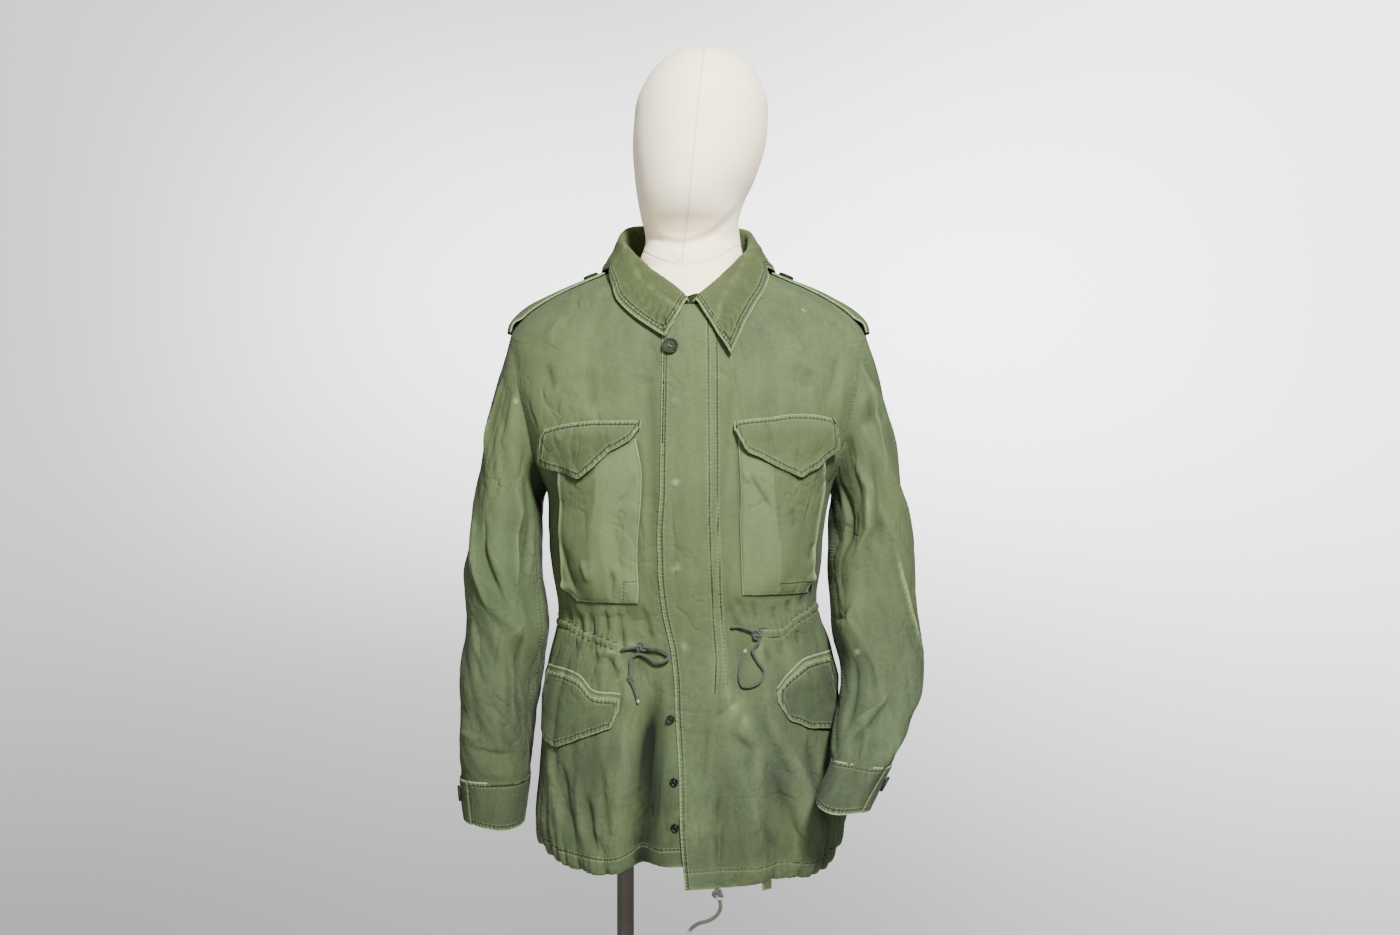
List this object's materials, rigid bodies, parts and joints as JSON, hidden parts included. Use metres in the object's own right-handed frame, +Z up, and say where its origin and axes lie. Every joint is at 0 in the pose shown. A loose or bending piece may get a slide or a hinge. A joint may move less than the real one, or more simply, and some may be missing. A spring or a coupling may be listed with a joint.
{
  "type": "field jacket on dress form",
  "caption": "Hip-length field jacket in washed olive cotton with bellows chest pockets, flapped hip pockets, straps, fly front and drawcords, worn by a headed dress form on a pole stand",
  "frame": {"origin": "on the floor, in the middle of the outline seen from above", "axes": "+Z up, the jacket's front faces -Y, the wearer's left is +X"},
  "size_m": [0.56, 0.3836, 1.782],
  "materials": {
    "sateen": "matt, washed",
    "cord": "braided, matt",
    "button": "satin",
    "snap_metal": "worn black",
    "form_cloth": "matt jersey",
    "steel": "satin"
  },
  "bodies": {
    "root": {"back": "sateen", "chest_flap_left": "sateen", "chest_flap_right": "sateen", "chest_pocket_left": "sateen", "chest_pocket_right": "sateen", "collar": "sateen", "cuff_button_left": "button", "cuff_button_right": "button", "cuff_left": "sateen", "cuff_right": "sateen", "dress_form": "form_cloth", "epaulette_button_left": "button", "epaulette_button_right": "button", "epaulette_left": "sateen", "epaulette_right": "sateen", "front_left": "sateen", "front_right": "sateen", "hem_cord": "cord", "hem_tape": "sateen", "hip_flap_left": "sateen", "hip_flap_right": "sateen", "hip_welt_left": "sateen", "hip_welt_right": "sateen", "neck_button": "button", "sleeve_left": "sateen", "sleeve_right": "sateen", "snap_stud_1": "snap_metal", "snap_stud_2": "snap_metal", "snap_stud_3": "snap_metal", "stand_base": "steel", "stand_flange": "steel", "stand_pole": "steel", "stand_socket": "steel", "waist_cord_left": "cord", "waist_cord_right": "cord"}
  },
  "joints": []
}
